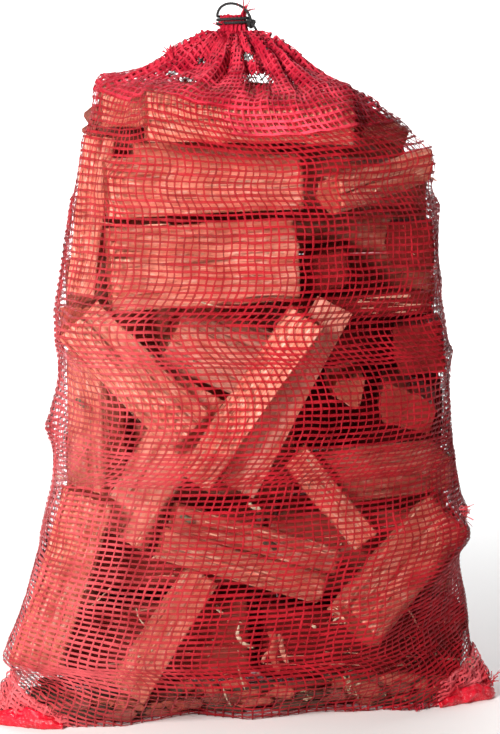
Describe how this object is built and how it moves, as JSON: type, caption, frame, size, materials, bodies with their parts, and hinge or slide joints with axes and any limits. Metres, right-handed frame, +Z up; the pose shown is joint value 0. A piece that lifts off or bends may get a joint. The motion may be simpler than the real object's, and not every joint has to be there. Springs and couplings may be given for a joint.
{
  "type": "firewood bundle",
  "caption": "Upright net sack filled with split logs, gathered and tied at the neck with a drawstring, two bunched lower corners and a flat base.",
  "frame": {"origin": "on the floor, under the middle of the whole object's box", "axes": "+Z up, towards the tied neck; -Y towards the front, as the picture shows it; +X to the picture's right"},
  "size_m": [0.4942, 0.3156, 0.6887],
  "materials": {
    "wood": "rough split",
    "net": "woven plastic tape",
    "cord": "twisted cord"
  },
  "bodies": {
    "root": {"back_log_01": "wood", "back_log_02": "wood", "back_log_03": "wood", "back_log_04": "wood", "back_log_05": "wood", "back_log_06": "wood", "back_log_07": "wood", "back_log_08": "wood", "back_log_09": "wood", "back_log_10": "wood", "back_log_11": "wood", "back_log_12": "wood", "back_log_13": "wood", "back_log_14": "wood", "back_log_15": "wood", "back_log_16": "wood", "back_log_17": "wood", "drawstring": "cord", "front_log_01": "wood", "front_log_02": "wood", "front_log_03": "wood", "front_log_04": "wood", "front_log_05": "wood", "front_log_06": "wood", "front_log_07": "wood", "front_log_08": "wood", "front_log_09": "wood", "front_log_10": "wood", "front_log_11": "wood", "front_log_12": "wood", "front_log_13": "wood", "front_log_14": "wood", "front_log_15": "wood", "middle_log_01": "wood", "middle_log_02": "wood", "middle_log_03": "wood", "middle_log_04": "wood", "middle_log_05": "wood", "middle_log_06": "wood", "middle_log_07": "wood", "middle_log_08": "wood", "middle_log_09": "wood", "middle_log_10": "wood", "middle_log_11": "wood", "middle_log_12": "wood", "middle_log_13": "wood", "middle_log_14": "wood", "middle_log_15": "wood", "middle_log_16": "wood", "middle_log_17": "wood", "middle_log_18": "wood", "middle_log_19": "wood", "middle_log_20": "wood", "net_sack": "net"}
  },
  "joints": []
}
